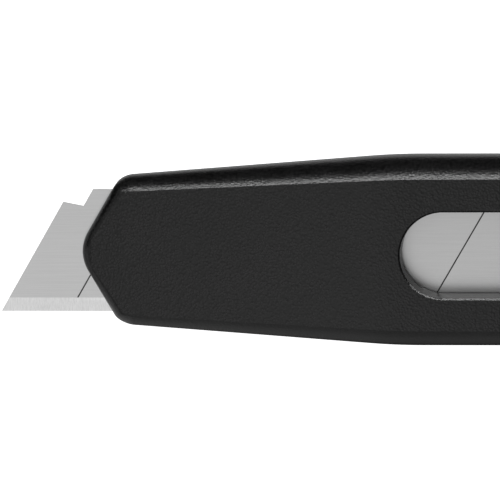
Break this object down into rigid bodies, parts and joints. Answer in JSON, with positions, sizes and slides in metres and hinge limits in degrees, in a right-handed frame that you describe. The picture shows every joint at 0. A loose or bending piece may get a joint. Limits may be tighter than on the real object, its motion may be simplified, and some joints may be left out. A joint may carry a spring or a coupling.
{
  "type": "snap-off utility knife",
  "caption": "Snap-off utility knife with a black two-shell handle, a long slider slot that shows the segmented blade, a wheel-locked slider and a pull-off end cap.",
  "frame": {"origin": "under the middle of the knife's overall length and height, on the flat rear face that it lies on", "axes": "+X from the blade's tip to the end cap, +Y from the cutting edge to the spine, +Z out of the slotted face"},
  "size_m": [0.1772, 0.028, 0.0182],
  "materials": {
    "body_black": "fine leather grain",
    "blade_steel": "brushed lengthways, ground edge",
    "channel_steel": "rolled sheet",
    "zinc_steel": "zinc plated",
    "slide_black": "fine grain",
    "grip_rubber": "soft matt",
    "brass": "turned",
    "tray_grey": "moulded"
  },
  "bodies": {
    "handle": {"front_shell": "body_black", "rear_shell": "body_black", "shell_screws": "zinc_steel", "blade_channel": "channel_steel", "magazine_tray": "tray_grey", "magazine_spring": "zinc_steel", "spare_blade_lower": "blade_steel", "spare_blade_upper": "blade_steel"},
    "slider": {"snap_off_blade": "blade_steel", "blade_carrier": "slide_black", "blade_peg": "zinc_steel", "thumb_slide": "slide_black", "front_grip_pad": "grip_rubber", "rear_grip_pad": "grip_rubber", "slide_screws": "zinc_steel", "spring_washer": "zinc_steel", "lock_stud": "zinc_steel", "clamp_plate": "zinc_steel"},
    "wheel": {"lock_wheel": "slide_black", "wheel_nut": "brass", "wheel_cap": "slide_black"},
    "cap": {"end_cap": "body_black", "snapper_plate": "zinc_steel", "lanyard_eyelet": "zinc_steel"}
  },
  "joints": [
    {"name": "blade_slide", "type": "slide", "parent": "handle", "child": "slider", "axis": [1, 0, 0], "range_m": [-0.045, 0.0175]},
    {"name": "wheel_turn", "type": "hinge", "parent": "slider", "child": "wheel", "pos_m": [0.03059, 0, 0.016], "axis": [0, 0, 1], "range_deg": [0, 120]},
    {"name": "cap_pull", "type": "slide", "parent": "handle", "child": "cap", "axis": [1, 0, 0], "range_m": [0, 0.012]}
  ]
}
